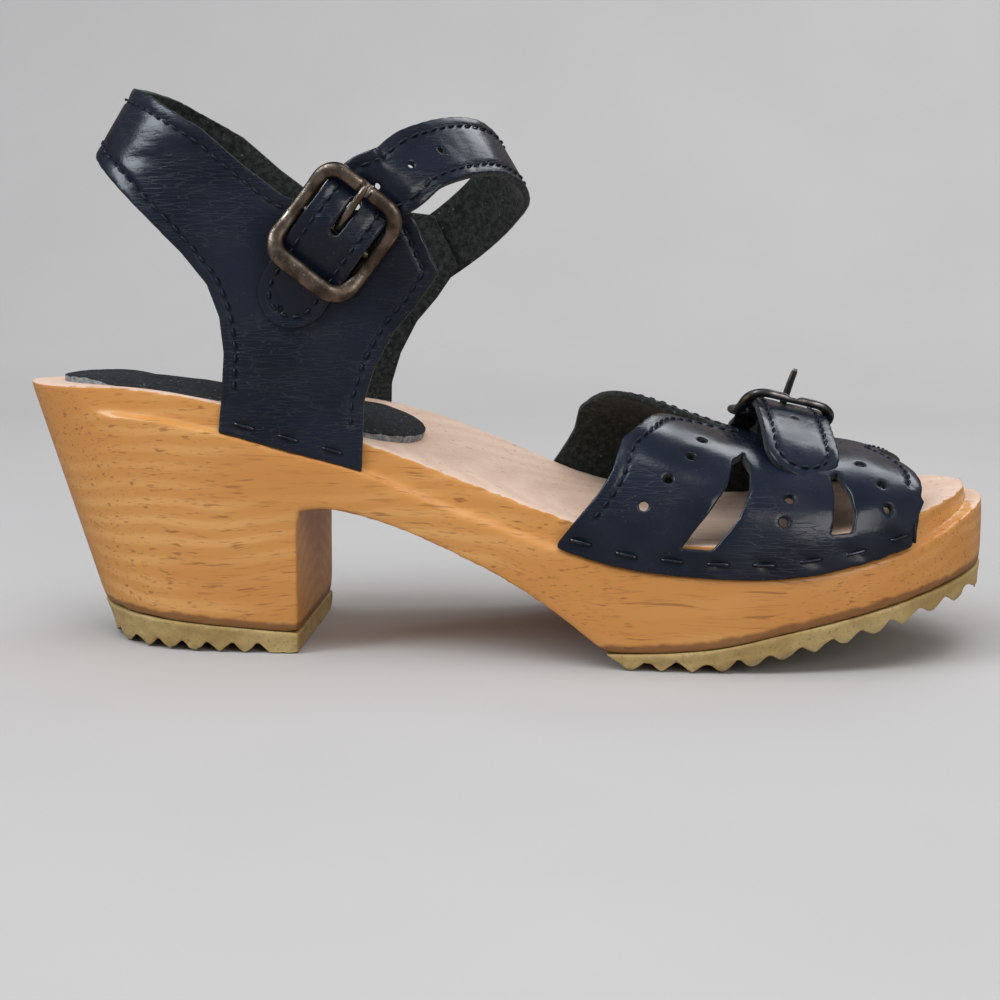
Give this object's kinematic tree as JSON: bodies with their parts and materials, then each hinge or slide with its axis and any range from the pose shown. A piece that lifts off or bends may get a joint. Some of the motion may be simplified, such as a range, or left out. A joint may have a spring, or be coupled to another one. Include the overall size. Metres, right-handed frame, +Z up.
{
  "type": "wooden clog sandal",
  "caption": "Heeled wooden clog sandal: one-piece wooden sole with ribbed rubber treads, punched leather vamp and buckled ankle strap stapled to its edge.",
  "frame": {"origin": "floor level, below the middle of the overall box", "axes": "+X towards the toe, +Y towards the inner side of a right foot, +Z up"},
  "size_m": [0.2501, 0.0952, 0.1422],
  "materials": {
    "wood": "varnished sides, sanded footbed",
    "tread_rubber": "matt, ribbed",
    "pad_foam": "fine pale foam",
    "pad_leather": "worn black leather",
    "patent_leather": "high gloss patent, suede flesh side",
    "antique_metal": "dark antique, rubbed",
    "staple_wire": "dark lacquered wire"
  },
  "bodies": {
    "root": {"wooden_sole": "wood", "heel_rubber": "tread_rubber", "forefoot_rubber": "tread_rubber", "heel_pad_foam": "pad_foam", "heel_pad_cover": "pad_leather", "vamp": "patent_leather", "ankle_sling": "patent_leather", "ankle_strap": "patent_leather", "vamp_strap": "patent_leather", "ankle_buckle_chape": "patent_leather", "vamp_buckle_chape": "patent_leather", "vamp_staples_outer": "staple_wire", "vamp_staples_inner": "staple_wire", "sling_staples_outer": "staple_wire", "sling_staples_inner": "staple_wire"},
    "ankle_frame": {"ankle_buckle_frame": "antique_metal"},
    "ankle_prong": {"ankle_buckle_prong": "antique_metal"},
    "vamp_frame": {"vamp_buckle_frame": "antique_metal"},
    "vamp_prong": {"vamp_buckle_prong": "antique_metal"}
  },
  "joints": [
    {"name": "ankle_frame_hinge", "type": "hinge", "parent": "root", "child": "ankle_frame", "pos_m": [-0.038, -0.033, 0.1058], "axis": [0.7913, -0.0214, -0.611], "range_deg": [-3, 3]},
    {"name": "ankle_prong_hinge", "type": "hinge", "parent": "ankle_frame", "child": "ankle_prong", "pos_m": [-0.038, -0.033, 0.1058], "axis": [0.7913, -0.0214, -0.611], "range_deg": [0, 38]},
    {"name": "vamp_frame_hinge", "type": "hinge", "parent": "root", "child": "vamp_frame", "pos_m": [0.0732, 0.0069, 0.0567], "axis": [-0.9664, -0.1021, 0.2357], "range_deg": [-3, 3]},
    {"name": "vamp_prong_hinge", "type": "hinge", "parent": "vamp_frame", "child": "vamp_prong", "pos_m": [0.0732, 0.0069, 0.0567], "axis": [-0.9664, -0.1021, 0.2357], "range_deg": [-35, 10]}
  ]
}
